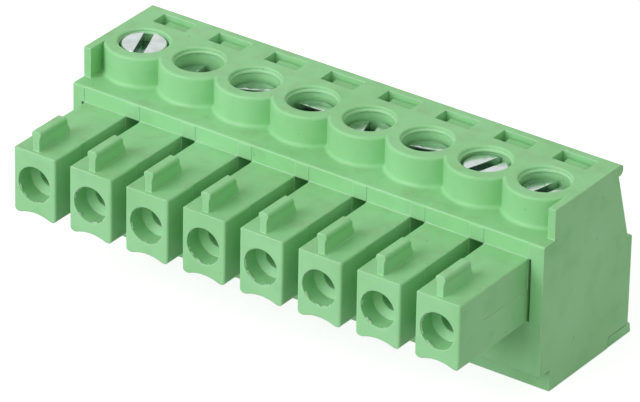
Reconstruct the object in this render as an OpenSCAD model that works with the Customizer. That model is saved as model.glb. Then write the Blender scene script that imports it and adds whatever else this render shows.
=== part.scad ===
// Pluggable screw terminal block: a row of female plug-in poles with rising-cage wire clamps.
// Millimetres. +X runs along the row, pole 1 at the low end; the noses point to -Y, wires enter
// from +Y, the screws are driven from +Z. The origin is under the middle of the block.

/* [Row] */
// Number of poles in the row
poles = 8; // [8:1:8]
// Distance from pole to pole
pitch = 3.81; // [3.5:0.01:5.08]
// Housing beyond the axis of the first pole
margin_first = 2.19; // [2.15:0.01:3]
// Housing beyond the axis of the last pole
margin_last = 2.41; // [2.15:0.01:3]

/* [Body] */
// Overall height
body_h = 11.1; // [10:0.1:13]
// Height of the shelf in front of the screw wells
shelf_h = 9.28; // [8.9:0.01:9.9]
// Depth from the front face to the rear face
body_d = 8.75; // [8.3:0.05:10.5]
// Depth from the front face to the top rear edge
top_d = 7.6; // [7.4:0.05:8]
// Height at which the slanting rear face steps out
rear_step_h = 6.2; // [5.9:0.05:6.8]
// Thickness of the end walls
end_wall_t = 0.46; // [0.4:0.01:0.5]
// Distance of the end walls' front edges behind the front face
end_wall_setback = 1.0; // [0.6:0.05:1.4]
// Height of the set-back foot under the front face
foot_h = 1.35; // [1:0.05:1.8]
// Distance of the foot behind the front face
foot_setback = 1.0; // [0.6:0.05:1.4]

/* [Noses] */
// Length of each nose in front of the front face
nose_len = 6.41; // [5.8:0.01:8]
// Height of the noses' underside
nose_low = 4.36; // [4.1:0.01:4.45]
// Height of the noses' top
nose_high = 8.3; // [8.1:0.01:8.7]
// Width of a nose at its tip
nose_tip_w = 2.84; // [2.7:0.01:2.9]
// Width of a nose at the front face
nose_root_w = 2.9; // [2.8:0.01:3]
// Height of the plug-in pins' axis
pin_axis_h = 6.32; // [6.2:0.01:6.4]
// Diameter of the pin entry's mouth
mouth_dia = 2.19; // [1.9:0.01:2.3]
// Depth of the mouth before its cone
mouth_depth = 1.1; // [0.8:0.05:1.4]
// Diameter of the pin entry behind the cone
pin_hole_dia = 1.36; // [1.2:0.01:1.5]

/* [Coding ribs] */
// Width of a rib's stem
rib_w = 0.42; // [0.35:0.01:0.5]
// Width of a rib's head
rib_head_w = 0.6; // [0.5:0.01:0.8]
// Height of a rib above the nose
rib_h = 1.2; // [0.9:0.05:1.5]
// Length of a rib along its top
rib_len = 2.3; // [1.8:0.05:3]
// Distance of a rib behind the nose's tip
rib_setback = 0.25; // [0.15:0.05:0.6]
// Sideways offset of a rib from the nose's middle
rib_offset = -0.05; // [-0.1:0.01:0.1]

/* [Screw wells] */
// Distance of the screw axes behind the front face
screw_y = 3.61; // [3.5:0.01:3.7]
// Outer diameter of the round well walls
well_outer_dia = 4.5; // [4.4:0.01:4.6]
// Inner diameter of a well
well_dia = 2.82; // [2.75:0.01:2.95]
// Height of the ledge under a screw head
well_floor_h = 9.05; // [9:0.01:9.1]

/* [Screws] */
// Diameter of a screw head
head_dia = 2.62; // [2.5:0.01:2.65]
// Height of a screw head
head_h = 1.0; // [0.9:0.05:1.05]
// Width of the driver slot
slot_w = 0.6; // [0.4:0.05:0.7]
// Depth of the driver slot
slot_depth = 0.6; // [0.4:0.05:0.7]
// Diameter of the shank over its thread
shank_dia = 1.92; // [1.8:0.01:1.94]

/* [Clamp] */
// Diameter of the cage's threaded hole
cage_hole_dia = 2.0; // [2:0.01:2.1]
// Outer width of a cage
cage_w = 2.8; // [2.7:0.01:2.84]
// Inner width of a cage
cage_inner_w = 2.0; // [1.9:0.01:2.1]
// Length of a cage along the wire
cage_len = 2.8; // [2.6:0.05:2.9]
// Thickness of a cage's floor
cage_floor_t = 0.5; // [0.4:0.05:0.6]
// Thickness of a cage's top wall
cage_top_t = 1.4; // [1.2:0.05:1.45]
// Free height for a wire under the contact bar
wire_h = 2.2; // [2.1:0.05:2.3]
// Width of the contact bar
bar_w = 1.7; // [1.5:0.05:1.75]
// Thickness of the contact sheet
bar_t = 0.5; // [0.4:0.05:0.55]
// Thickness of the two contact leaves
leaf_t = 0.32; // [0.25:0.01:0.35]
// Clear width between the leaves where they grip a pin
grip_w = 0.8; // [0.6:0.05:0.9]

/* [Wire entry frame] */
// Width of a wire funnel's mouth
funnel_w = 2.9; // [2.6:0.05:3]
// Height of a wire funnel's mouth
funnel_h = 4.0; // [3.4:0.05:4.2]
// Thickness of the base plate
base_t = 0.6; // [0.5:0.05:0.7]
// Distance of the base plate's rear edge behind the rear face
base_lip = 0.35; // [0.1:0.05:0.5]
// Width of a snap arm
arm_w = 1.65; // [1.4:0.05:1.8]
// Depth of the hooks' tops below the housing's top
hook_drop = 0.2; // [0.1:0.05:0.35]

/* [Fit] */
// Play between the frame and the housing
frame_play = 0.05; // [0.03:0.01:0.06]
// Play between a cage and its chamber, on each side
cage_play = 0.08; // [0.05:0.01:0.1]
// Free height over a closed cage
cage_headroom = 0.3; // [0.1:0.05:0.35]
// Travel of a cage from open to closed
cage_travel = 1.3; // [1:0.05:1.3]
// Play of a contact in its nose
contact_play = 0.05; // [0.03:0.01:0.08]
// Gap under a screw's tip when it is seated
tip_gap = 0.03; // [0.02:0.01:0.05]

/* [Screw positions] */
// Height of each screw over its seated position
screw_lift = [0.85, 0, 0.12, 0.21, 0.18, 0.15, 0.54, 0.28];
// Angle of each driver slot from the row's direction
slot_turn = [112, 95, 29, 2, 109, 17, 73, 77];

/* [Hidden] */
$fn = 48;
eps = 0.01;

// Row and origin
row_len = (poles - 1) * pitch;
row_x = (margin_first - margin_last) / 2;
base_rear = body_d + base_lip;
front_y = (nose_len - base_rear) / 2;
housing_lo = -row_len / 2 - margin_first;
housing_hi = row_len / 2 + margin_last;

// Levels of the clamp, from the contact bar
leaf_h = 1.8;
bar_low = pin_axis_h - leaf_h / 2 - bar_t;
bar_high = bar_low + bar_t;
cage_top_gap = 0.2;
cage_low = bar_low - wire_h - cage_floor_t;
cage_inner_h = wire_h + bar_t + cage_top_gap;
cage_h = cage_floor_t + cage_inner_h + cage_top_t;
cage_corner = 0.25;
seated_tip = bar_high + tip_gap;
seated_head_low = well_floor_h + 0.1;
shank_len = seated_head_low - seated_tip;

// Chamber of each pole
chamber_w = cage_w + 2 * cage_play;
chamber_front = screw_y - cage_len / 2 - cage_play;
chamber_rear = screw_y + cage_len / 2 + 3 * cage_play;
chamber_low = cage_low - frame_play;
chamber_high = cage_low + cage_h + cage_travel + cage_headroom;
shank_hole_dia = shank_dia + 0.4;

// Frame block behind the chambers
block_h = 5.1;
block_front = chamber_rear + 0.2;
block_high = chamber_low + block_h;
cavity_front = block_front - frame_play;
cavity_high = block_high + frame_play;
crease = 0.07;
step_low = rear_step_h - 0.12;
step_high = rear_step_h + 0.18;
shoulder_y = body_d - 0.42;
rear_slope = 0.3;
base_front = 6.8;
arm_rear = 6.85;
arm_front = 6.18;
window_front = 5.77;
window_rear = 6.9;
window_lo = -1.0;
window_hi = 1.22;
arm_lo = window_lo + 0.38;
hook_h = 0.62;
ledge_h = body_h - hook_drop - hook_h - 0.04;

// Nose details
nose_play = 0.17;
pocket_depth = chamber_front - 0.3;
taper_angle = atan((nose_root_w - nose_tip_w) / 2 / nose_len);
cone_len = 0.3;
pin_hole_len = 0.75;
socket_front = -nose_len + mouth_depth + cone_len + pin_hole_len;
socket_w = bar_w + 2 * contact_play;
arch_rise = 0.21;
arch_half = 1.02;
arch_x = 0.06;
arch_r = (arch_half * arch_half + arch_rise * arch_rise) / (2 * arch_rise);
step_y = -nose_len + 2.3;
step_h = 6.4;
step_t = 0.04;
edge_r = 0.14;
foot_r_first = 0.35;
foot_r_last = 0.16;

function pole_x(p) = (p - (poles + 1) / 2) * pitch;

module placed() translate([row_x, front_y, 0]) children();

module at_pole(p) placed() translate([pole_x(p), 0, 0]) children();

// A bar from x0 to x1 whose section lies in the Y-Z plane
module along_x(x0, x1) translate([x0, 0, 0]) rotate([90, 0, 90]) linear_extrude(x1 - x0) children();

// A bar from y0 to y1 whose section lies in the X-Z plane
module along_y(y0, y1) translate([0, y1, 0]) rotate([90, 0, 0]) linear_extrude(y1 - y0) children();

module rod_y(r, y0, y1) along_y(y0, y1) circle(r = r);

module box(x0, x1, y0, y1, z0, z1) translate([x0, y0, z0]) cube([x1 - x0, y1 - y0, z1 - z0]);

module rounded_rect(w, h, r) {
    square([w - 2 * r, h], center = true);
    square([w, h - 2 * r], center = true);
    for (sx = [-1, 1]) for (sy = [-1, 1]) translate([sx * (w / 2 - r), sy * (h / 2 - r)]) circle(r = r);
}

// What is cut off a square edge that faces +X and +Y in the section, to leave radius r
module edge_cut(r) translate([-r, -r]) difference() {
    square(r + eps);
    circle(r = r);
}

// Side section of the housing, with the upper part starting at front_edge
module side_section(front_edge) {
    bead_r = 0.33;
    bead_z = body_h - bead_r;
    bead_y = top_d - bead_r;
    bead_root = 0.42;
    brow = 0.05;
    difference() {
        polygon([
            [foot_setback, 0], [base_front, 0], [base_front, base_t + crease],
            [body_d, base_t + crease], [body_d + brow, step_low],
            [body_d, rear_step_h], [shoulder_y, step_high],
            [top_d - bead_root, bead_z - bead_r], [bead_y, body_h], [front_edge, body_h],
            [front_edge, shelf_h], [0, shelf_h], [0, foot_h], [foot_setback, foot_h]
        ]);
        translate([0, shelf_h]) mirror([1, 0]) edge_cut(edge_r);
    }
    translate([bead_y, bead_z]) circle(r = bead_r);
}

// Round wall of a screw well, with a rounded rim and a fillet on the shelf
module well_wall() translate([0, screw_y, shelf_h - eps]) rotate_extrude() {
    r = well_outer_dia / 2;
    h = body_h - shelf_h + eps;
    rim = 0.16;
    fillet = 0.22;
    difference() {
        square([r, h]);
        translate([r, h]) edge_cut(rim);
    }
    difference() {
        translate([r - eps, 0]) square([fillet + eps, fillet + eps]);
        translate([r + fillet, fillet + eps]) circle(r = fillet);
    }
}

// Bore of a screw well: rounded rim, shallow groove, retaining lip, straight wall
module well_bore() translate([0, screw_y, 0]) {
    r = well_dia / 2;
    rim = 0.1;
    lip_r = 0.09;
    lip_z = body_h - 0.3;
    difference() {
        translate([0, 0, well_floor_h]) cylinder(r = r + 0.05, h = body_h - well_floor_h + eps);
        translate([0, 0, lip_z]) rotate_extrude() translate([r + 0.06, 0]) circle(r = lip_r);
    }
    translate([0, 0, body_h]) rotate_extrude() difference() {
        translate([0, -rim]) square([r + 0.05 + rim, rim + eps]);
        translate([r + 0.05 + rim, -rim]) circle(r = rim);
    }
    translate([0, 0, chamber_high - eps]) cylinder(d = shank_hole_dia, h = well_floor_h - chamber_high + 2 * eps);
}

// One nose: tapered in plan, rounded along its edges, arched below
module nose() difference() {
    union() {
        difference() {
            translate([0, 0, nose_low]) linear_extrude(nose_high - nose_low) polygon([
                [-nose_tip_w / 2, -nose_len], [nose_tip_w / 2, -nose_len],
                [nose_root_w / 2, 0], [nose_root_w / 2, pocket_depth + eps],
                [-nose_root_w / 2, pocket_depth + eps], [-nose_root_w / 2, 0]
            ]);
            nose_edges(-1, foot_r_first);
            nose_edges(1, foot_r_last);
            translate([arch_x, 0, nose_low + arch_rise - arch_r]) rod_y(arch_r, -nose_len - 1, pocket_depth + 1);
        }
        coding_rib();
    }
    pin_entry();
}

// Cuts along one long side of a nose: top edge, lower edge, tip edge and the stepped rear panel
module nose_edges(side, low_r) {
    x_tip = nose_tip_w / 2;
    mirror([side < 0 ? 1 : 0, 0, 0]) {
        translate([x_tip, -nose_len, 0]) rotate([0, 0, -taper_angle]) {
            translate([0, -1, nose_high]) along_y(0, nose_len + 0.9) edge_cut(edge_r);
            translate([0, -1, nose_low]) along_y(0, nose_len + 0.9) mirror([0, 1]) edge_cut(low_r);
            box(-step_t, 1, step_y + nose_len, nose_len, step_h, nose_high + 1);
        }
        translate([x_tip, -nose_len, nose_low - 1]) linear_extrude(nose_high - nose_low + 2)
            mirror([0, 1]) edge_cut(edge_r);
    }
}

// Stem with a wider rounded head; the rear end slopes down
module coding_rib() {
    y0 = -nose_len + rib_setback;
    slope = 0.45;
    head_r = 0.14;
    neck = 0.15;
    z0 = nose_high - eps;
    top = nose_high + rib_h;
    head_low = top - 0.36;
    intersection() {
        along_y(y0, y0 + rib_len + slope) translate([rib_offset, 0]) {
            translate([-rib_w / 2, z0]) square([rib_w, rib_h]);
            translate([0, (head_low + top) / 2]) rounded_rect(rib_head_w, top - head_low, head_r);
            polygon([
                [-rib_w / 2, head_low - neck], [rib_w / 2, head_low - neck],
                [rib_head_w / 2, head_low + head_r], [-rib_head_w / 2, head_low + head_r]
            ]);
        }
        along_x(-1, 1) polygon([
            [y0, z0], [y0 + rib_len + slope, z0], [y0 + rib_len + slope, z0 + 0.3],
            [y0 + rib_len, top], [y0, top]
        ]);
    }
}

// Mouth, cone and pin hole, then the socket behind them
module pin_entry() {
    translate([0, -nose_len, pin_axis_h]) rotate([-90, 0, 0]) {
        translate([0, 0, -1]) cylinder(d = mouth_dia, h = mouth_depth + 1);
        translate([0, 0, mouth_depth - eps]) cylinder(d1 = mouth_dia, d2 = pin_hole_dia, h = cone_len + eps);
        cylinder(d = pin_hole_dia, h = mouth_depth + cone_len + pin_hole_len + eps);
    }
    socket_space();
}

module socket_space() box(
    -socket_w / 2, socket_w / 2, socket_front, chamber_front + eps,
    bar_low - contact_play, bar_high + leaf_h + 2 * contact_play
);

// Space for the cage, open to the rear
module chamber() {
    box(-chamber_w / 2, chamber_w / 2, chamber_front, chamber_rear, chamber_low, chamber_high);
    box(-chamber_w / 2, chamber_w / 2, chamber_rear - eps, cavity_front + eps, chamber_low, cavity_high);
}

// Window in the top and the narrower channel under it for a snap arm
module snap_window() {
    box(window_lo, window_hi, window_front, window_rear, ledge_h, body_h + 1);
    box(window_lo, window_hi, arm_front - frame_play, window_rear, cavity_high - eps, body_h);
}

module housing() color([0.45, 0.74, 0.47]) difference() {
    placed() {
        difference() {
            union() {
                along_x(housing_lo, housing_hi) side_section(screw_y);
                along_x(housing_lo, housing_lo + end_wall_t) side_section(end_wall_setback);
                along_x(housing_hi - end_wall_t, housing_hi) side_section(end_wall_setback);
                intersection() {
                    for (p = [1 : poles]) translate([pole_x(p), 0, 0]) well_wall();
                    box(housing_lo, housing_hi, 0.3, body_d, 0, body_h);
                }
            }
            nose_pocket();
        }
        for (p = [1 : poles]) translate([pole_x(p), 0, 0]) nose();
    }
    for (p = [1 : poles]) at_pole(p) {
        socket_space();
        chamber();
        well_bore();
        snap_window();
        nose_seat_mark();
    }
    placed() frame_space();
}

// Recess in the front face that the noses stand in
module nose_pocket() box(
    pole_x(1) - nose_root_w / 2 - nose_play, pole_x(poles) + nose_root_w / 2 + nose_play,
    -1, pocket_depth, nose_low + 0.1, nose_high
);

// Shallow mark over each nose
module nose_seat_mark() {
    mark = 0.03;
    box(-nose_root_w / 2, nose_root_w / 2, -1, mark, nose_high + eps, shelf_h + 1);
}

// Space between the end walls and under them that the wire entry frame fills
module frame_space() {
    box(housing_lo + end_wall_t, housing_hi - end_wall_t, cavity_front, body_d + 1, -1, cavity_high);
    box(housing_lo - 1, housing_hi + 1, base_front, body_d + 1, -1, base_t + crease);
}

module wire_entry_frame() color([0.43, 0.72, 0.45]) placed() difference() {
    union() {
        along_x(housing_lo + end_wall_t + frame_play, housing_hi - end_wall_t - frame_play) polygon([
            [block_front, 0], [body_d, 0], [body_d, step_low], [shoulder_y, step_high],
            [shoulder_y - rear_slope * (block_high - step_high), block_high], [block_front, block_high]
        ]);
        along_x(housing_lo, housing_hi) polygon([
            [base_front + frame_play, 0], [base_rear, 0],
            [base_rear - 0.1, base_t], [base_front + frame_play, base_t]
        ]);
        for (p = [1 : poles]) translate([pole_x(p), 0, 0]) snap_arm();
    }
    for (p = [1 : poles]) translate([pole_x(p), 0, 0]) wire_funnel();
}

// Arm that rises through the housing and hooks over the ledge in its window
module snap_arm() {
    crown_r = 1.1;
    top = body_h - hook_drop;
    box(arm_lo, arm_lo + arm_w, arm_front, arm_rear, block_high - eps, top - hook_h + eps);
    intersection() {
        box(arm_lo, arm_lo + arm_w, window_front + frame_play, arm_rear, top - hook_h, top);
        along_x(arm_lo, arm_lo + arm_w)
            translate([(window_front + arm_rear) / 2, top - crown_r]) circle(r = crown_r);
    }
}

// Tapered wire entry with a straight throat
module wire_funnel() {
    throat_w = cage_inner_w + 0.1;
    throat_low = cage_low + cage_floor_t - 0.05;
    throat_high = bar_low + 0.05;
    throat_y = body_d - 1.7;
    mid_z = (throat_low + throat_high) / 2;
    box(-throat_w / 2, throat_w / 2, block_front - 1, body_d + 1, throat_low, throat_high);
    intersection() {
        translate([0, 0, -1]) linear_extrude(body_h) polygon([
            [-throat_w / 2, throat_y], [throat_w / 2, throat_y],
            [funnel_w / 2, body_d + eps], [-funnel_w / 2, body_d + eps]
        ]);
        along_x(-pitch / 2, pitch / 2) polygon([
            [throat_y, throat_low], [body_d + eps, mid_z - funnel_h / 2],
            [body_d + eps, mid_z + funnel_h / 2], [throat_y, throat_high]
        ]);
    }
}

// Slotted cheese-head screw, its fine thread left plain
module clamp_screw(p) color([0.80, 0.82, 0.83]) at_pole(p) {
    head_low = seated_head_low + screw_lift[p - 1];
    rim = 0.12;
    translate([0, screw_y, 0]) {
        difference() {
            translate([0, 0, head_low]) rotate_extrude() difference() {
                square([head_dia / 2, head_h]);
                translate([head_dia / 2, head_h]) edge_cut(rim);
            }
            translate([0, 0, head_low + head_h - slot_depth]) rotate([0, 0, slot_turn[p - 1]])
                translate([-head_dia, -slot_w / 2, 0]) cube([2 * head_dia, slot_w, slot_depth + 1]);
        }
        translate([0, 0, head_low - shank_len]) cylinder(d1 = shank_dia - 0.3, d2 = shank_dia, h = 0.15);
        translate([0, 0, head_low - shank_len + 0.15]) cylinder(d = shank_dia, h = shank_len - 0.15 + eps);
    }
}

// Rising cage: a closed loop round the wire, tapped at its top
module clamp_cage(p) color([0.82, 0.80, 0.72]) at_pole(p) difference() {
    groove_r = 0.14;
    y0 = screw_y - cage_len / 2;
    inner_low = cage_low + cage_floor_t;
    along_y(y0, y0 + cage_len) difference() {
        translate([0, cage_low + cage_h / 2]) rounded_rect(cage_w, cage_h, cage_corner);
        translate([0, inner_low + cage_inner_h / 2]) rounded_rect(cage_inner_w, cage_inner_h, 0.1);
    }
    translate([0, screw_y, inner_low + cage_inner_h - 1]) cylinder(d = cage_hole_dia, h = cage_top_t + 2);
    for (k = [-1, 0, 1]) translate([0, screw_y + k * cage_len / 4, inner_low])
        rotate([0, 90, 0]) cylinder(r = groove_r, h = cage_inner_w - 0.3, center = true);
}

// Contact: a flat bar through the cage and two leaves that grip a pin
module contact(p) color([0.78, 0.78, 0.74]) at_pole(p) {
    front = socket_front + contact_play;
    rear = chamber_rear;
    leaf_rear = -0.4;
    root = bar_w / 2 - leaf_t;
    grip_y = front + 1.0;
    flare = 0.12;
    box(-bar_w / 2, bar_w / 2, front + 0.5, rear, bar_low, bar_high);
    for (side = [0, 1]) mirror([side, 0, 0]) translate([0, 0, bar_low]) linear_extrude(bar_t + leaf_h) polygon([
        [grip_w / 2 + flare, front], [grip_w / 2, grip_y - 0.4], [grip_w / 2, grip_y + 0.2],
        [root, grip_y + 2], [root, leaf_rear], [bar_w / 2, leaf_rear], [bar_w / 2, grip_y + 2],
        [grip_w / 2 + leaf_t, grip_y + 0.2], [grip_w / 2 + leaf_t, grip_y - 0.4],
        [grip_w / 2 + flare + leaf_t, front]
    ]);
}

housing();
wire_entry_frame();
for (p = [1 : poles]) {
    clamp_screw(p);
    clamp_cage(p);
    contact(p);
}
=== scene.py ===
"""Looks of a pluggable screw terminal block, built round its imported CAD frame.

The housing and the wire entry frame are one green polyamide, the clamp screws and
cages are plated steel, and the contacts are tinned. Every length is in metres.
"""
from __future__ import annotations

import logging
import math
from dataclasses import dataclass
from enum import Enum

import bmesh
import bpy
from mathutils import Matrix, Vector


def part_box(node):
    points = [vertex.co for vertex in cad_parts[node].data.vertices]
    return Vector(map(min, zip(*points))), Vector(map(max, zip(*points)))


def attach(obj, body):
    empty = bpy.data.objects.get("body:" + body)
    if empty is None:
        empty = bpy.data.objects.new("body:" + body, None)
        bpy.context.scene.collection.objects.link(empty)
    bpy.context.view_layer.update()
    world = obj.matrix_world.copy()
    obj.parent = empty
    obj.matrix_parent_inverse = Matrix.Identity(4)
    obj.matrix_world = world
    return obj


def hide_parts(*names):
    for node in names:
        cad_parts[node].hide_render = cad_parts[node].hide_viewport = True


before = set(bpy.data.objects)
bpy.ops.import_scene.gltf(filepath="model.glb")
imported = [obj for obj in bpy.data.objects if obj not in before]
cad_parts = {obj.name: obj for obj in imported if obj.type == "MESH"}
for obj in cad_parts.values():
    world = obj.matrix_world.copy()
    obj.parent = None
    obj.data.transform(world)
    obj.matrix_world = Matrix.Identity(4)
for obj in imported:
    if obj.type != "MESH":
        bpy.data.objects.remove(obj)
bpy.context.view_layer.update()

MM = 0.001
WELD = 0.0005 * MM
FLAT_ANGLE = 0.5
POLES = range(1, 9)
LOG = logging.getLogger("terminal_block")

Colour = tuple[float, float, float]


def linear(red: int, green: int, blue: int) -> Colour:
    """Turns a display colour into the linear light that a shader takes.

    Args:
        red: Red, from 0 to 255.
        green: Green, from 0 to 255.
        blue: Blue, from 0 to 255.

    Returns:
        The three linear values, from 0 to 1.
    """
    parts = [value / 255 for value in (red, green, blue)]
    return tuple(c / 12.92 if c <= 0.04045 else ((c + 0.055) / 1.055) ** 2.4 for c in parts)


@dataclass
class Graph:
    """Adds and joins the nodes of one shader or geometry tree."""

    tree: bpy.types.NodeTree

    def add(self, kind: str, **settings: object) -> bpy.types.Node:
        """Adds a node.

        Args:
            kind: The node's type.
            **settings: Properties to set on it.

        Returns:
            The new node.
        """
        node = self.tree.nodes.new(kind)
        for name, value in settings.items():
            setattr(node, name, value)
        return node

    def join(self, source: bpy.types.NodeSocket, target: bpy.types.NodeSocket) -> None:
        """Links an output to an input."""
        self.tree.links.new(source, target)

    def math(self, operation: str, *values: object) -> bpy.types.NodeSocket:
        """Adds a Math node.

        Args:
            operation: What the node works out.
            *values: Its inputs, each a socket or a number.

        Returns:
            The node's output.
        """
        node = self.add("ShaderNodeMath", operation=operation)
        for socket, value in zip(node.inputs, values):
            if isinstance(value, bpy.types.NodeSocket):
                self.join(value, socket)
            else:
                socket.default_value = value
        return node.outputs[0]

    def noise(self, place: bpy.types.NodeSocket, size: float,
              detail: float = 2.0) -> bpy.types.NodeSocket:
        """Adds a noise pattern.

        Args:
            place: The coordinates that it reads.
            size: The size of one of its patches, in metres.
            detail: How many finer layers it has.

        Returns:
            The noise value.
        """
        node = self.add("ShaderNodeTexNoise")
        node.inputs["Scale"].default_value = 1 / size
        node.inputs["Detail"].default_value = detail
        self.join(place, node.inputs["Vector"])
        return node.outputs["Fac"]

    def ramp(self, value: bpy.types.NodeSocket, low: float, high: float,
             start: float = 0.0, end: float = 1.0) -> bpy.types.NodeSocket:
        """Spreads the stretch from low to high over start to end, and holds it outside.

        Args:
            value: The value to spread.
            low: Where the stretch begins.
            high: Where it ends.
            start: What low becomes.
            end: What high becomes.

        Returns:
            The spread value.
        """
        node = self.add("ShaderNodeMapRange", clamp=True)
        self.join(value, node.inputs["Value"])
        limits = {"From Min": low, "From Max": high, "To Min": start, "To Max": end}
        for name, number in limits.items():
            node.inputs[name].default_value = number
        return node.outputs["Result"]

    def mix(self, share: bpy.types.NodeSocket, under: object, over: object) -> bpy.types.NodeSocket:
        """Lays one colour over another.

        Args:
            share: How much of the second shows.
            under: The first colour, a socket or three numbers.
            over: The second colour, a socket or three numbers.

        Returns:
            The mixed colour.
        """
        node = self.add("ShaderNodeMix", data_type="RGBA")
        self.join(share, node.inputs[0])
        for socket, colour in ((node.inputs[6], under), (node.inputs[7], over)):
            if isinstance(colour, bpy.types.NodeSocket):
                self.join(colour, socket)
            else:
                socket.default_value = (*colour, 1)
        return node.outputs[2]

    def bump(self, height: bpy.types.NodeSocket, depth: float,
             normal: bpy.types.NodeSocket | None = None) -> bpy.types.NodeSocket:
        """Turns a height pattern into a bumpy normal.

        Args:
            height: The pattern, from 0 to 1.
            depth: How deep it is, in metres.
            normal: The normal that it starts from.

        Returns:
            The bumpy normal.
        """
        node = self.add("ShaderNodeBump")
        node.inputs["Distance"].default_value = depth
        self.join(height, node.inputs["Height"])
        if normal is not None:
            self.join(normal, node.inputs["Normal"])
        return node.outputs["Normal"]

    def close(self, source: bpy.types.NodeSocket) -> None:
        """Ends a geometry tree with realized instances and a Set Material node.

        Args:
            source: The geometry.
        """
        real = self.add("GeometryNodeRealizeInstances")
        self.join(source, real.inputs[0])
        dressed = self.add("GeometryNodeSetMaterial")
        self.join(real.outputs[0], dressed.inputs["Geometry"])
        self.join(dressed.outputs[0], self.add("NodeGroupOutput").inputs[0])


def start_material(name: str) -> tuple[bpy.types.Material, Graph, bpy.types.Node]:
    """Makes a material with a Principled shader.

    Args:
        name: The material's name.

    Returns:
        The material, its graph and its shader.
    """
    material = bpy.data.materials.new(name)
    material.use_nodes = True
    material.node_tree.nodes.clear()
    graph = Graph(material.node_tree)
    shader = graph.add("ShaderNodeBsdfPrincipled")
    output = graph.add("ShaderNodeOutputMaterial")
    graph.join(shader.outputs["BSDF"], output.inputs["Surface"])
    return material, graph, shader


@dataclass(frozen=True)
class MouldedPolyamide:
    """Satin green plastic: flow marks, mould grain, specks, grime, scuffed edges and a painted
    highlight along every edge.
    """

    name: str
    body: Colour
    pale: Colour
    deep: Colour
    scuff_and_highlight_colour: Colour
    grime: Colour
    grain: float = 0.09 * MM
    flow: float = 1.6 * MM
    patch: float = 7.0 * MM
    edge: float = 0.085 * MM
    speck: float = 0.35 * MM
    smudge: float = 1.1 * MM
    edge_highlight: float = 0.55
    scuff_and_highlight_share: float = 0.75
    flow_relief: float = 0.006 * MM
    grain_relief: float = 0.0018 * MM
    roughness: float = 0.42

    def material(self) -> bpy.types.Material:
        """Builds the material.

        Returns:
            The finished material.
        """
        material, graph, shader = start_material(self.name)
        place = graph.add("ShaderNodeTexCoord").outputs["Object"]
        patches = graph.noise(place, self.patch, 3)
        flow = graph.noise(place, self.flow, 4)
        grain = graph.noise(place, self.grain, 2)
        colour = graph.mix(graph.ramp(patches, 0.35, 0.68), self.body, self.pale)
        colour = graph.mix(graph.ramp(flow, 0.52, 0.80, 0.0, 0.35), colour, self.deep)
        specks = graph.ramp(graph.noise(place, self.speck, 0), 0.835, 0.85, 0.0, 0.5)
        colour = graph.mix(specks, colour, self.deep)
        colour = graph.mix(self.grime_mask(graph, place), colour, self.grime)
        rounded = graph.add("ShaderNodeBevel", samples=4)
        rounded.inputs["Radius"].default_value = self.edge
        lit_and_worn_edges = self.edge_mask(graph, rounded.outputs["Normal"])
        # Painted highlight: every edge is lightened towards the pale scuff colour, standing in for
        # light caught by the rounded edges.
        colour = graph.mix(graph.math("MULTIPLY", lit_and_worn_edges, self.edge_highlight), colour, self.scuff_and_highlight_colour)
        # Lighter patches along the edges: scuff wear, made strong enough to add to the painted
        # highlight.
        scuffs_and_highlight = graph.math("MULTIPLY", lit_and_worn_edges, graph.ramp(flow, 0.40, 0.62))
        colour = graph.mix(graph.math("MULTIPLY", scuffs_and_highlight, self.scuff_and_highlight_share), colour, self.scuff_and_highlight_colour)
        graph.join(colour, shader.inputs["Base Color"])
        spread = graph.ramp(flow, 0.3, 0.7, self.roughness - 0.06, self.roughness + 0.07)
        rough = graph.math("ADD", spread, graph.ramp(grain, 0, 1, -0.03, 0.03))
        graph.join(rough, shader.inputs["Roughness"])
        normal = graph.bump(flow, self.flow_relief, rounded.outputs["Normal"])
        graph.join(graph.bump(grain, self.grain_relief, normal), shader.inputs["Normal"])
        shader.inputs["IOR"].default_value = 1.53
        shader.inputs["Specular IOR Level"].default_value = 0.25
        shader.inputs["Subsurface Weight"].default_value = 0.12
        shader.inputs["Subsurface Radius"].default_value = (0.35, 1.0, 0.4)
        shader.inputs["Subsurface Scale"].default_value = 0.35 * MM
        return material

    def grime_mask(self, graph: Graph, place: bpy.types.NodeSocket) -> bpy.types.NodeSocket:
        """Finds the patches of handling grime, which lie on faces that look up.

        Args:
            graph: The material's graph.
            place: Object coordinates.

        Returns:
            How much of the grime shows.
        """
        parts = graph.add("ShaderNodeSeparateXYZ")
        graph.join(graph.add("ShaderNodeNewGeometry").outputs["Normal"], parts.inputs[0])
        upward = graph.ramp(parts.outputs["Z"], 0.7, 0.95)
        patches = graph.ramp(graph.noise(place, self.smudge, 3), 0.48, 0.72, 0.0, 0.55)
        return graph.math("MULTIPLY", upward, patches)

    def edge_mask(self, graph: Graph, rounded: bpy.types.NodeSocket) -> bpy.types.NodeSocket:
        """Finds the edges, where the rounded normal turns away from the plain one.

        Args:
            graph: The material's graph.
            rounded: The rounded normal.

        Returns:
            A mask that is 1 on an edge.
        """
        plain = graph.add("ShaderNodeNewGeometry").outputs["Normal"]
        dot = graph.add("ShaderNodeVectorMath", operation="DOT_PRODUCT")
        graph.join(rounded, dot.inputs[0])
        graph.join(plain, dot.inputs[1])
        return graph.ramp(dot.outputs["Value"], 0.995, 0.90)


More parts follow.
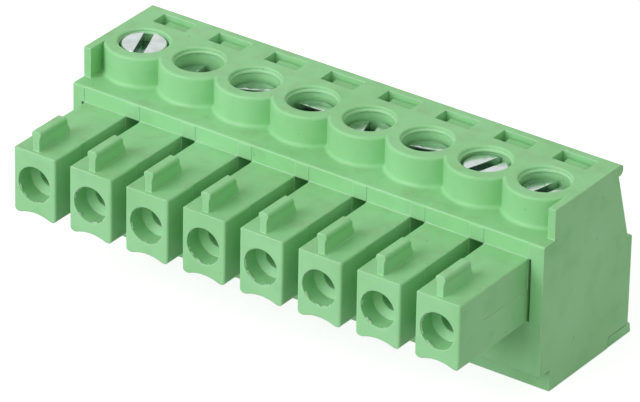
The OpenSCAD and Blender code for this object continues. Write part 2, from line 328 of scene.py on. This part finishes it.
@dataclass(frozen=True)
class PlatedSteel:
    """Bright plating over metal, with faint stains, fine scratches and painted shade in deep
    places.
    """

    name: str
    body: Colour
    stain: Colour
    shade: Colour
    roughness: float
    turned: bool = False
    cloud: float = 0.9 * MM
    scratch: float = 0.05 * MM
    scratch_stretch: float = 0.12
    scratch_angle: float = 24.0
    ring: float = 0.045 * MM
    cloud_relief: float = 0.008 * MM
    scratch_relief: float = 0.0007 * MM
    ring_relief: float = 0.0005 * MM

    def material(self) -> bpy.types.Material:
        """Builds the material.

        Returns:
            The finished material.
        """
        material, graph, shader = start_material(self.name)
        place = graph.add("ShaderNodeTexCoord").outputs["Object"]
        clouds = graph.noise(place, self.cloud, 4)
        streaks = graph.noise(self.drawn_out(graph, place), self.scratch, 2)
        colour = graph.mix(graph.ramp(clouds, 0.42, 0.72, 0.0, 0.7), self.body, self.stain)
        depth = graph.add("ShaderNodeAttribute", attribute_name="depth").outputs["Fac"]
        # Painted shade: points deeper below the head's top are darkened towards the shade colour.
        colour = graph.mix(graph.ramp(depth, 0.1, 1.0, 0.0, 0.9), colour, self.shade)
        graph.join(colour, shader.inputs["Base Color"])
        rough = graph.ramp(streaks, 0.3, 0.7, self.roughness - 0.03, self.roughness + 0.05)
        graph.join(rough, shader.inputs["Roughness"])
        normal = graph.bump(streaks, self.scratch_relief)
        normal = graph.bump(clouds, self.cloud_relief, normal)
        if self.turned:
            normal = graph.bump(self.rings(graph), self.ring_relief, normal)
        graph.join(normal, shader.inputs["Normal"])
        shader.inputs["Metallic"].default_value = 1.0
        return material

    def drawn_out(self, graph: Graph, place: bpy.types.NodeSocket) -> bpy.types.NodeSocket:
        """Stretches the coordinates along the row, so that noise becomes scratches.

        Args:
            graph: The material's graph.
            place: Object coordinates.

        Returns:
            The stretched coordinates.
        """
        node = graph.add("ShaderNodeMapping")
        node.inputs["Scale"].default_value = (self.scratch_stretch, 1.0, 1.0)
        node.inputs["Rotation"].default_value = (0, 0, math.radians(self.scratch_angle))
        graph.join(place, node.inputs["Vector"])
        return node.outputs["Vector"]

    def rings(self, graph: Graph) -> bpy.types.NodeSocket:
        """Draws the rings that a turning tool leaves, from the piece's own "turning" radius.

        Args:
            graph: The material's graph.

        Returns:
            The ring pattern.
        """
        radius = graph.add("ShaderNodeAttribute", attribute_name="turning").outputs["Fac"]
        turns = graph.math("MULTIPLY", radius, 2 * math.pi / self.ring)
        return graph.ramp(graph.math("SINE", turns), -1, 1)


def link(mesh: bpy.types.Mesh, name: str) -> bpy.types.Object:
    """Puts a mesh into the scene as an object at the origin.

    Args:
        mesh: The mesh.
        name: The object's name.

    Returns:
        The new object.
    """
    piece = bpy.data.objects.new(name, mesh)
    bpy.context.scene.collection.objects.link(piece)
    return piece


def settle(piece: bpy.types.Object) -> bpy.types.Object:
    """Turns a piece with modifiers into a plain mesh without them.

    Args:
        piece: The piece.

    Returns:
        The same piece.
    """
    graph = bpy.context.evaluated_depsgraph_get()
    mesh = bpy.data.meshes.new_from_object(piece.evaluated_get(graph))
    piece.modifiers.clear()
    piece.data = mesh
    mesh.name = piece.name
    return piece


def set_inputs(modifier: bpy.types.Modifier, sizes: dict[str, float]) -> None:
    """Sets the inputs of a modifier's geometry tree by their sockets' identifiers.

    Args:
        modifier: The modifier that holds the tree.
        sizes: Each input's name and value.
    """
    for item in modifier.node_group.interface.items_tree:
        if item.in_out == "INPUT" and item.name in sizes:
            modifier[item.identifier] = sizes[item.name]


def smooth(mesh: bpy.types.Mesh, angle: float = 32.0) -> None:
    """Shades a mesh smooth, except across edges sharper than an angle.

    Args:
        mesh: The mesh.
        angle: The angle, in degrees.
    """
    mesh.shade_smooth()
    mesh.set_sharp_from_angle(angle=math.radians(angle))


def merged_copy(node: str, name: str) -> bpy.types.Object:
    """Copies a CAD node as one closed mesh with whole flat faces.

    Args:
        node: The CAD node.
        name: The new piece's name.

    Returns:
        The new piece, at the origin.
    """
    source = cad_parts[node].data
    mesh = bpy.data.meshes.new(name)
    faces = [tuple(face.vertices) for face in source.polygons]
    mesh.from_pydata([point.co[:] for point in source.vertices], [], faces)
    shell = bmesh.new()
    shell.from_mesh(mesh)
    bmesh.ops.remove_doubles(shell, verts=shell.verts, dist=WELD)
    bmesh.ops.dissolve_limit(
        shell, angle_limit=math.radians(FLAT_ANGLE), use_dissolve_boundaries=False,
        verts=shell.verts, edges=shell.edges, delimit={"NORMAL"},
    )
    shell.to_mesh(mesh)
    shell.free()
    return link(mesh, name)


def soften(piece: bpy.types.Object, width: float, angle: float = 35.0) -> bpy.types.Object:
    """Rounds a piece's sharp edges.

    Args:
        piece: The piece.
        width: The width of the rounding, in metres.
        angle: The least angle that counts as sharp, in degrees.

    Returns:
        The same piece, with plain geometry.
    """
    bevel = piece.modifiers.new("edges", "BEVEL")
    bevel.width = width
    bevel.segments = 2
    bevel.limit_method = "ANGLE"
    bevel.angle_limit = math.radians(angle)
    bevel.use_clamp_overlap = True
    settle(piece)
    smooth(piece.data)
    return piece


def dress(piece: bpy.types.Object, material: bpy.types.Material) -> None:
    """Gives a piece one material all over.

    Args:
        piece: The piece.
        material: Its material.
    """
    piece.data.materials.clear()
    piece.data.materials.append(material)


@dataclass
class Housing:
    """The green housing with its eight noses: a CAD node that keeps its own mesh."""

    finish: MouldedPolyamide
    pitch: float = 3.81 * MM
    nose_length: float = 6.41 * MM
    nose_width: float = 2.84 * MM
    nose_top: float = 8.3 * MM
    pin_height: float = 6.32 * MM
    mouth_radius: float = 1.095 * MM
    rim_lump: float = 0.085 * MM
    rim_share: float = 0.47
    rim_lift: float = 1.3
    edge_lump: float = 0.06 * MM
    edge_share: float = 0.42
    edge_start: float = 2.4 * MM
    edge_end: float = 0.2 * MM
    edge_inset: float = 0.05 * MM
    edge_drop: float = 0.035 * MM

    def build(self) -> None:
        """Dresses the CAD housing and adds the flash on its noses."""
        material = self.finish.material()
        dress(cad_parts["housing"], material)
        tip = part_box("housing")[0].y
        low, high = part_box("contact_1")
        first = (low.x + high.x) / 2
        rim = Vector((first, tip + self.rim_lift * self.rim_lump, self.pin_height))
        Crumbs(
            "mouth_flash", Path.RING, rim, self.mouth_radius, self.pitch,
            self.rim_lump, self.rim_share, seed=4,
        ).build(material)
        side = first + self.nose_width / 2 - self.edge_inset
        edge = Vector((side, tip + self.edge_start, self.nose_top - self.edge_drop))
        Crumbs(
            "edge_flash", Path.EDGE, edge, self.nose_length - self.edge_start - self.edge_end,
            self.pitch, self.edge_lump, self.edge_share, seed=9,
        ).build(material)
        LOG.info("housing dressed in %s", self.finish.name)


@dataclass
class WireEntryFrame:
    """The snap-in frame behind the housing, with its wire funnels and hooks."""

    finish: MouldedPolyamide
    edge: float = 0.05 * MM
    hook_height: float = 0.5 * MM
    hook_slope: float = 0.38

    def build(self) -> None:
        """Builds the frame's softened mesh in place of its CAD node."""
        piece = merged_copy("wire_entry_frame", "moulded_entry_frame")
        self.tilt_hooks(piece.data)
        soften(piece, self.edge)
        dress(piece, self.finish.material())
        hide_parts("wire_entry_frame")
        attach(piece, "block")
        LOG.info("%s: %d faces", piece.name, len(piece.data.polygons))

    def tilt_hooks(self, mesh: bpy.types.Mesh) -> None:
        """Slopes the hooks' tops down towards the noses.

        Args:
            mesh: The frame's mesh.
        """
        top = max(point.co.z for point in mesh.vertices)
        crown = [point for point in mesh.vertices if point.co.z > top - self.hook_height]
        rear = max(point.co.y for point in crown)
        for point in crown:
            point.co.z -= self.hook_slope * (rear - point.co.y)


class Path(Enum):
    """What a row of moulding crumbs follows on each nose."""

    RING = "ring"
    EDGE = "edge"


@dataclass
class Crumbs:
    """Small lumps of flash that the mould left along one edge of every nose."""

    name: str
    path: Path
    start: Vector
    length: float
    pitch: float
    size: float
    share: float
    seed: int
    spacing: float = 0.07 * MM
    clump: float = 0.55 * MM

    def build(self, material: bpy.types.Material) -> None:
        """Grows the crumbs for all noses as one piece.

        Args:
            material: The housing's plastic.
        """
        piece = link(bpy.data.meshes.new(self.name), self.name)
        modifier = piece.modifiers.new("crumbs", "NODES")
        modifier.node_group = self.tree()
        sizes = {"Length": self.length, "Pitch": self.pitch, "Size": self.size, "Share": self.share}
        set_inputs(modifier, sizes)
        settle(piece)
        piece.data.transform(Matrix.Translation(self.start))
        smooth(piece.data, angle=60)
        dress(piece, material)
        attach(piece, "block")
        LOG.info("%s: %d faces", piece.name, len(piece.data.polygons))

    def tree(self) -> bpy.types.NodeTree:
        """Builds the geometry tree: a path for each pole, with a random share of it in lumps.

        Returns:
            The new tree.
        """
        tree = bpy.data.node_groups.new(f"{self.name}_tree", "GeometryNodeTree")
        for name in ("Length", "Pitch", "Size", "Share"):
            tree.interface.new_socket(name, in_out="INPUT", socket_type="NodeSocketFloat")
        tree.interface.new_socket("Geometry", in_out="OUTPUT", socket_type="NodeSocketGeometry")
        graph = Graph(tree)
        given = graph.add("NodeGroupInput").outputs
        row = graph.add("GeometryNodeMeshLine")
        row.inputs["Count"].default_value = len(POLES)
        step = graph.add("ShaderNodeCombineXYZ")
        graph.join(given["Pitch"], step.inputs[0])
        graph.join(step.outputs[0], row.inputs["Offset"])
        poles = graph.add("GeometryNodeInstanceOnPoints")
        graph.join(row.outputs[0], poles.inputs["Points"])
        graph.join(self.points(graph, given["Length"]), poles.inputs["Instance"])
        spread = graph.add("GeometryNodeRealizeInstances")
        graph.join(poles.outputs[0], spread.inputs[0])
        kept = graph.add("GeometryNodeDeleteGeometry", domain="POINT")
        graph.join(spread.outputs[0], kept.inputs["Geometry"])
        place = graph.add("GeometryNodeInputPosition").outputs[0]
        clumps = graph.noise(place, self.clump, 2)
        graph.join(graph.math("GREATER_THAN", clumps, given["Share"]), kept.inputs["Selection"])
        lump = graph.add("GeometryNodeMeshIcoSphere")
        lump.inputs["Subdivisions"].default_value = 2
        graph.join(given["Size"], lump.inputs["Radius"])
        lumps = graph.add("GeometryNodeInstanceOnPoints")
        graph.join(kept.outputs[0], lumps.inputs["Points"])
        graph.join(lump.outputs["Mesh"], lumps.inputs["Instance"])
        scale = graph.add("FunctionNodeRandomValue", data_type="FLOAT_VECTOR")
        scale.inputs["Min"].default_value = (0.45, 0.45, 0.3)
        scale.inputs["Max"].default_value = (1.0, 1.0, 1.0)
        scale.inputs["Seed"].default_value = self.seed
        graph.join(scale.outputs[0], lumps.inputs["Scale"])
        graph.close(lumps.outputs[0])
        return tree

    def points(self, graph: Graph, length: bpy.types.NodeSocket) -> bpy.types.NodeSocket:
        """Draws one pole's path as points: a ring of that radius, or a line of that length.

        Args:
            graph: The tree's graph.
            length: The ring's radius or the line's length.

        Returns:
            The path's points.
        """
        if self.path is Path.RING:
            ring = graph.add("GeometryNodeMeshCircle")
            ring.inputs["Vertices"].default_value = round(2 * math.pi * self.length / self.spacing)
            graph.join(length, ring.inputs["Radius"])
            turned = graph.add("GeometryNodeTransform")
            turned.inputs["Rotation"].default_value = (math.pi / 2, 0, 0)
            graph.join(ring.outputs[0], turned.inputs["Geometry"])
            return turned.outputs[0]
        line = graph.add("GeometryNodeMeshLine", mode="END_POINTS")
        line.inputs["Count"].default_value = round(self.length / self.spacing)
        end = graph.add("ShaderNodeCombineXYZ")
        graph.join(length, end.inputs[1])
        graph.join(end.outputs[0], line.inputs["Offset"])
        return line.outputs[0]


@dataclass
class ClampScrew:
    """A slotted cheese-head screw with a right-hand thread."""

    pole: int
    slot_angle: float
    head_height: float = 1.0 * MM
    slot_width: float = 0.6 * MM
    slot_depth: float = 0.6 * MM
    shank_radius: float = 0.96 * MM
    thread_pitch: float = 0.4 * MM
    thread_depth: float = 0.2 * MM
    rim: float = 0.16 * MM
    rim_steps: int = 5
    dish: float = 0.02 * MM
    dish_share: float = 0.35
    foot: float = 0.04 * MM
    edge: float = 0.035 * MM
    steps: int = 64

    def build(self, material: bpy.types.Material) -> None:
        """Builds the screw in place of its CAD node.

        Args:
            material: The screw's plating.
        """
        low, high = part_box(f"clamp_screw_{self.pole}")
        axis = (low + high) / 2
        head_radius = (high.x - low.x) / 2
        head = self.head(head_radius)
        length = high.z - low.z - self.head_height
        shank = self.shank(length)
        shank.data.transform(Matrix.Translation((0, 0, -length / 2)))
        mesh = self.joined(head, shank)
        mesh.transform(Matrix.Translation((axis.x, axis.y, high.z - self.head_height)))
        piece = link(mesh, f"threaded_screw_{self.pole}")
        self.mark_plating(mesh, axis, high.z)
        smooth(mesh, angle=38)
        dress(piece, material)
        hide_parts(f"clamp_screw_{self.pole}")
        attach(piece, f"screw_{self.pole}")
        LOG.info("%s: %d faces", piece.name, len(mesh.polygons))

    def profile(self, radius: float) -> list[tuple[float, float]]:
        """Draws half the head's section, from the middle of its top to its bearing face.

        Args:
            radius: The head's radius.

        Returns:
            Pairs of radius and height.
        """
        top = self.head_height
        points = [(self.dish_share * radius, top - self.dish), (radius - self.rim, top)]
        for k in range(1, self.rim_steps + 1):
            turn = math.pi / 2 * k / self.rim_steps
            inward, down = 1 - math.sin(turn), 1 - math.cos(turn)
            points.append((radius - self.rim * inward, top - self.rim * down))
        points.append((radius, self.foot))
        points.append((radius - self.foot, 0.0))
        points.append((self.shank_radius - self.thread_depth, 0.0))
        return points

    def head(self, radius: float) -> bpy.types.Object:
        """Turns the head and cuts its slot.

        Args:
            radius: The head's radius.

        Returns:
            The head, its bearing face at height 0.
        """
        shell = bmesh.new()
        turns = [2 * math.pi * k / self.steps for k in range(self.steps)]
        rings = [
            [shell.verts.new((r * math.cos(turn), r * math.sin(turn), z)) for turn in turns]
            for r, z in self.profile(radius)
        ]
        shell.faces.new(rings[0])
        shell.faces.new(reversed(rings[-1]))
        for upper, lower in zip(rings, rings[1:]):
            for k in range(self.steps):
                after = (k + 1) % self.steps
                shell.faces.new((upper[k], lower[k], lower[after], upper[after]))
        bmesh.ops.recalc_face_normals(shell, faces=shell.faces)
        mesh = bpy.data.meshes.new(f"head_{self.pole}")
        shell.to_mesh(mesh)
        shell.free()
        head = link(mesh, f"head_{self.pole}")
        cutter = self.slot_cutter(radius)
        cut = head.modifiers.new("slot", "BOOLEAN")
        cut.operation = "DIFFERENCE"
        cut.solver = "EXACT"
        cut.object = cutter
        edge = head.modifiers.new("edges", "BEVEL")
        edge.width = self.edge
        edge.segments = 2
        edge.limit_method = "ANGLE"
        edge.angle_limit = math.radians(50)
        settle(head)
        bpy.data.objects.remove(cutter)
        return head

    def slot_cutter(self, radius: float) -> bpy.types.Object:
        """Makes the block that cuts the driver slot.

        Args:
            radius: The head's radius.

        Returns:
            The block, turned to the slot's angle.
        """
        shell = bmesh.new()
        bmesh.ops.create_cube(shell, size=1.0)
        size = Matrix.Diagonal((3 * radius, self.slot_width, 2 * self.slot_depth, 1))
        turn = Matrix.Rotation(math.radians(self.slot_angle), 4, "Z")
        rise = Matrix.Translation((0, 0, self.head_height))
        bmesh.ops.transform(shell, verts=shell.verts, matrix=rise @ turn @ size)
        mesh = bpy.data.meshes.new("slot")
        shell.to_mesh(mesh)
        shell.free()
        return link(mesh, "slot")

    def shank(self, length: float) -> bpy.types.Object:
        """Grows the threaded shank with its geometry tree.

        Args:
            length: The shank's length.

        Returns:
            The shank, centred on the origin.
        """
        piece = link(bpy.data.meshes.new("shank"), f"shank_{self.pole}")
        modifier = piece.modifiers.new("thread", "NODES")
        modifier.node_group = ThreadTree.tree()
        sizes = {
            "Radius": self.shank_radius,
            "Length": length,
            "Pitch": self.thread_pitch,
            "Depth": self.thread_depth,
        }
        set_inputs(modifier, sizes)
        return settle(piece)

    def joined(self, *pieces: bpy.types.Object) -> bpy.types.Mesh:
        """Joins loose pieces into one mesh and removes them.

        Args:
            *pieces: The pieces.

        Returns:
            The joined mesh.
        """
        shell = bmesh.new()
        for piece in pieces:
            shell.from_mesh(piece.data)
            bpy.data.objects.remove(piece)
        mesh = bpy.data.meshes.new(f"threaded_screw_{self.pole}")
        shell.to_mesh(mesh)
        shell.free()
        return mesh

    def mark_plating(self, mesh: bpy.types.Mesh, axis: Vector, top: float) -> None:
        """Stores each point's distance from the axis and its depth, from which the plating paints
        shade.

        Args:
            mesh: The screw's mesh.
            axis: A point on the screw's axis.
            top: The height of the head's top.
        """
        turning = mesh.attributes.new("turning", "FLOAT", "POINT")
        depth = mesh.attributes.new("depth", "FLOAT", "POINT")
        for point, radius, low in zip(mesh.vertices, turning.data, depth.data):
            radius.value = math.hypot(point.co.x - axis.x, point.co.y - axis.y)
            low.value = min(1.0, (top - point.co.z) / self.slot_depth)


class ThreadTree:
    """The geometry tree that turns a plain rod into a right-hand thread."""

    NAME = "right_hand_thread"
    INPUTS = ("Radius", "Length", "Pitch", "Depth")
    SEGMENTS = 40
    STEP = 0.05 * MM
    FLANK = (0.06, 0.44)
    POINT = 0.3 * MM

    @classmethod
    def tree(cls) -> bpy.types.NodeTree:
        """Returns the tree, which is built once."""
        found = bpy.data.node_groups.get(cls.NAME)
        return found if found is not None else cls.make()

    @classmethod
    def make(cls) -> bpy.types.NodeTree:
        """Builds the tree.

        Returns:
            The new tree.
        """
        tree = bpy.data.node_groups.new(cls.NAME, "GeometryNodeTree")
        for name in cls.INPUTS:
            socket = tree.interface.new_socket(name, in_out="INPUT", socket_type="NodeSocketFloat")
            socket.default_value = 1 * MM
        tree.interface.new_socket("Geometry", in_out="OUTPUT", socket_type="NodeSocketGeometry")
        graph = Graph(tree)
        given = graph.add("NodeGroupInput").outputs
        rod = graph.add("GeometryNodeMeshCylinder")
        rod.inputs["Vertices"].default_value = cls.SEGMENTS
        graph.join(graph.math("DIVIDE", given["Length"], cls.STEP), rod.inputs["Side Segments"])
        graph.join(given["Radius"], rod.inputs["Radius"])
        graph.join(given["Length"], rod.inputs["Depth"])
        place = graph.add("GeometryNodeInputPosition").outputs[0]
        parts = graph.add("ShaderNodeSeparateXYZ")
        graph.join(place, parts.inputs[0])
        x, y, z = parts.outputs
        turn = graph.math("DIVIDE", graph.math("ARCTAN2", y, x), 2 * math.pi)
        rise = graph.math("SUBTRACT", graph.math("DIVIDE", z, given["Pitch"]), turn)
        crest = graph.math("ABSOLUTE", graph.math("SUBTRACT", graph.math("FRACT", rise), 0.5))
        inward = graph.math("MULTIPLY", graph.ramp(crest, *cls.FLANK, 1.0, 0.0), given["Depth"])
        end = graph.math("ADD", z, graph.math("DIVIDE", given["Length"], 2))
        point = graph.math("MULTIPLY", graph.ramp(end, 0.0, cls.POINT, 1.0, 0.0), given["Depth"])
        depth = graph.math("MAXIMUM", inward, point)
        share = graph.math("SUBTRACT", 1.0, graph.math("DIVIDE", depth, given["Radius"]))
        moved = graph.add("ShaderNodeCombineXYZ")
        drawn_in = (graph.math("MULTIPLY", x, share), graph.math("MULTIPLY", y, share), z)
        for socket, value in zip(moved.inputs, drawn_in):
            graph.join(value, socket)
        thread = graph.add("GeometryNodeSetPosition")
        graph.join(rod.outputs["Mesh"], thread.inputs["Geometry"])
        graph.join(moved.outputs[0], thread.inputs["Position"])
        graph.close(thread.outputs[0])
        return tree


@dataclass
class ScrewRow:
    """The eight clamp screws, each left at its own slot angle."""

    finish: PlatedSteel
    slot_angles: tuple[float, ...] = (112, 95, 29, 2, 109, 17, 73, 77)

    def build(self) -> None:
        """Builds every screw."""
        material = self.finish.material()
        for pole, angle in zip(POLES, self.slot_angles):
            ClampScrew(pole, angle).build(material)


@dataclass
class ClampCages:
    """The eight rising cages."""

    finish: PlatedSteel
    edge: float = 0.06 * MM

    def build(self) -> None:
        """Builds every cage's softened mesh in place of its CAD node."""
        material = self.finish.material()
        for pole in POLES:
            node = f"clamp_cage_{pole}"
            piece = soften(merged_copy(node, f"pressed_cage_{pole}"), self.edge)
            dress(piece, material)
            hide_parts(node)
            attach(piece, f"cage_{pole}")
        LOG.info("cages built for %d poles", len(POLES))


@dataclass
class Contacts:
    """The eight tinned contacts."""

    finish: PlatedSteel
    edge: float = 0.04 * MM

    def build(self) -> None:
        """Builds every contact's softened mesh in place of its CAD node."""
        material = self.finish.material()
        for pole in POLES:
            node = f"contact_{pole}"
            piece = soften(merged_copy(node, f"stamped_contact_{pole}"), self.edge)
            dress(piece, material)
            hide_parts(node)
            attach(piece, "block")
        LOG.info("contacts built for %d poles", len(POLES))


def outward(azimuth: float, elevation: float) -> Vector:
    """Finds the direction from the block towards a lamp or the camera.

    Args:
        azimuth: Degrees round the block from its front.
        elevation: Degrees above the floor.

    Returns:
        The direction, one long.
    """
    turn, rise = math.radians(azimuth), math.radians(elevation)
    level = math.cos(rise)
    return Vector((math.sin(turn) * level, -math.cos(turn) * level, math.sin(rise)))


@dataclass
class SoftBox:
    """One large soft lamp that faces the block."""

    name: str
    azimuth: float
    elevation: float
    distance: float
    width: float
    power: float
    colour: Colour = (0.98, 0.88, 1.0)

    def build(self) -> None:
        """Places the lamp."""
        lamp = bpy.data.lights.new(self.name, "AREA")
        lamp.shape = "SQUARE"
        lamp.size = self.width
        lamp.energy = self.power
        lamp.color = self.colour
        away = outward(self.azimuth, self.elevation)
        body = bpy.data.objects.new(self.name, lamp)
        turned = away.to_track_quat("Z", "Y").to_matrix().to_4x4()
        body.matrix_world = Matrix.Translation(away * self.distance) @ turned
        bpy.context.scene.collection.objects.link(body)


@dataclass
class Studio:
    """The floor, lamps, surround and camera."""

    azimuth: float = 34.711
    elevation: float = 28.779
    roll: float = 1.077
    distance: float = 349.07 * MM
    across: float = 1.138 * MM
    upward: float = 6.151 * MM
    centre: Vector = Vector((-0.11 * MM, -1.345 * MM, -0.10 * MM))
    lens: float = 357.86
    floor_size: float = 3.0
    floor_gap: float = 0.02 * MM
    floor_colour: Colour = (0.40, 0.40, 0.40)
    floor_seen: Colour = (0.42, 0.42, 0.42)
    floor_glow: float = 0.80
    surround: float = 0.49
    surround_colour: Colour = (0.88, 1.0, 0.80)

    def build(self) -> None:
        """Sets up everything round the block."""
        self.camera()
        self.floor()
        self.world()
        for lamp in (
            SoftBox("front_lamp", azimuth=-20, elevation=30, distance=0.60, width=0.45, power=2.95),
            SoftBox("side_lamp", azimuth=95, elevation=25, distance=0.60, width=0.50, power=0.40),
        ):
            lamp.build()
        bpy.context.scene.view_settings.view_transform = "Standard"
        LOG.info("studio ready")

    def camera(self) -> None:
        """Places the camera and makes it the scene's."""
        turn, roll = math.radians(self.azimuth), math.radians(self.roll)
        back = outward(self.azimuth, self.elevation)
        level = Vector((math.cos(turn), math.sin(turn), 0))
        raised = back.cross(level)
        right = math.cos(roll) * level + math.sin(roll) * raised
        up = -math.sin(roll) * level + math.cos(roll) * raised
        place = self.centre + self.across * right + self.upward * up + self.distance * back
        data = bpy.data.cameras.new("camera")
        data.lens = self.lens
        data.sensor_width = 36.0
        data.clip_start = 0.02
        data.clip_end = 10.0
        body = bpy.data.objects.new("camera", data)
        turned = Matrix((right, up, back)).transposed().to_4x4()
        body.matrix_world = Matrix.Translation(place) @ turned
        bpy.context.scene.collection.objects.link(body)
        bpy.context.scene.camera = body

    def floor(self) -> None:
        """Lays the pale floor, which keeps the block's shadow."""
        half = self.floor_size / 2
        signs = ((-1, -1), (1, -1), (1, 1), (-1, 1))
        corners = [(x * half, y * half, -self.floor_gap) for x, y in signs]
        mesh = bpy.data.meshes.new("floor")
        mesh.from_pydata(corners, [], [(0, 1, 2, 3)])
        plane = link(mesh, "floor")
        material = bpy.data.materials.new("pale_floor")
        material.use_nodes = True
        material.node_tree.nodes.clear()
        graph = Graph(material.node_tree)
        plain = graph.add("ShaderNodeBsdfDiffuse")
        plain.inputs["Color"].default_value = (*self.floor_colour, 1)
        dim = graph.add("ShaderNodeBsdfDiffuse")
        dim.inputs["Color"].default_value = (*self.floor_seen, 1)
        glow = graph.add("ShaderNodeEmission")
        glow.inputs["Strength"].default_value = self.floor_glow
        seen = graph.add("ShaderNodeAddShader")
        graph.join(dim.outputs[0], seen.inputs[0])
        graph.join(glow.outputs[0], seen.inputs[1])
        choice = graph.add("ShaderNodeMixShader")
        graph.join(self.seen_rays(graph), choice.inputs[0])
        graph.join(plain.outputs[0], choice.inputs[1])
        graph.join(seen.outputs[0], choice.inputs[2])
        graph.join(choice.outputs[0], graph.add("ShaderNodeOutputMaterial").inputs["Surface"])
        mesh.materials.append(material)

    def seen_rays(self, graph: Graph) -> bpy.types.NodeSocket:
        """Finds the rays that see a surface: from the camera, mirrored or through glass.

        Args:
            graph: The graph that asks.

        Returns:
            A value that is 1 for such rays.
        """
        path = graph.add("ShaderNodeLightPath").outputs
        both = graph.math("MAXIMUM", path["Is Camera Ray"], path["Is Glossy Ray"])
        return graph.math("MAXIMUM", both, path["Is Transmission Ray"])

    def world(self) -> None:
        """Surrounds the scene with even light that is seen as white."""
        world = bpy.data.worlds.new("surround")
        bpy.context.scene.world = world
        world.use_nodes = True
        world.node_tree.nodes.clear()
        graph = Graph(world.node_tree)
        sky = graph.add("ShaderNodeBackground")
        seen = self.seen_rays(graph)
        graph.join(graph.ramp(seen, 0, 1, self.surround, 1.0), sky.inputs["Strength"])
        graph.join(graph.mix(seen, self.surround_colour, (1.0, 1.0, 1.0)), sky.inputs["Color"])
        graph.join(sky.outputs[0], graph.add("ShaderNodeOutputWorld").inputs["Surface"])


def main() -> None:
    """Builds the block's sub-assemblies in order, then the studio."""
    logging.basicConfig(level=logging.INFO, format="%(message)s")
    green = dict(
        body=linear(146, 209, 147), pale=linear(156, 217, 160),
        deep=linear(116, 182, 117), scuff_and_highlight_colour=linear(205, 238, 208), grime=linear(146, 190, 136),
    )
    Housing(MouldedPolyamide("green_polyamide", **green)).build()
    WireEntryFrame(MouldedPolyamide("green_polyamide_frame", **green)).build()
    dull = (0.3, 0.3, 0.3)
    # The zinc's shade colour is painted shade in the slot, tinted green as a painted reflection of
    # the housing.
    zinc = PlatedSteel(
        "bright_zinc", body=(0.68, 0.73, 0.72), stain=(0.46, 0.53, 0.50), shade=(0.16, 0.30, 0.22),
        roughness=0.2, turned=True,
    )
    satin = PlatedSteel(
        "satin_plating", body=(0.74, 0.72, 0.66), stain=(0.60, 0.57, 0.50), shade=dull,
        roughness=0.36,
    )
    tinned = PlatedSteel(
        "tinned_copper", body=(0.76, 0.76, 0.74), stain=(0.66, 0.64, 0.60), shade=dull,
        roughness=0.32,
    )
    ScrewRow(zinc).build()
    ClampCages(satin).build()
    Contacts(tinned).build()
    Studio().build()


if __name__ == "__main__":
    main()
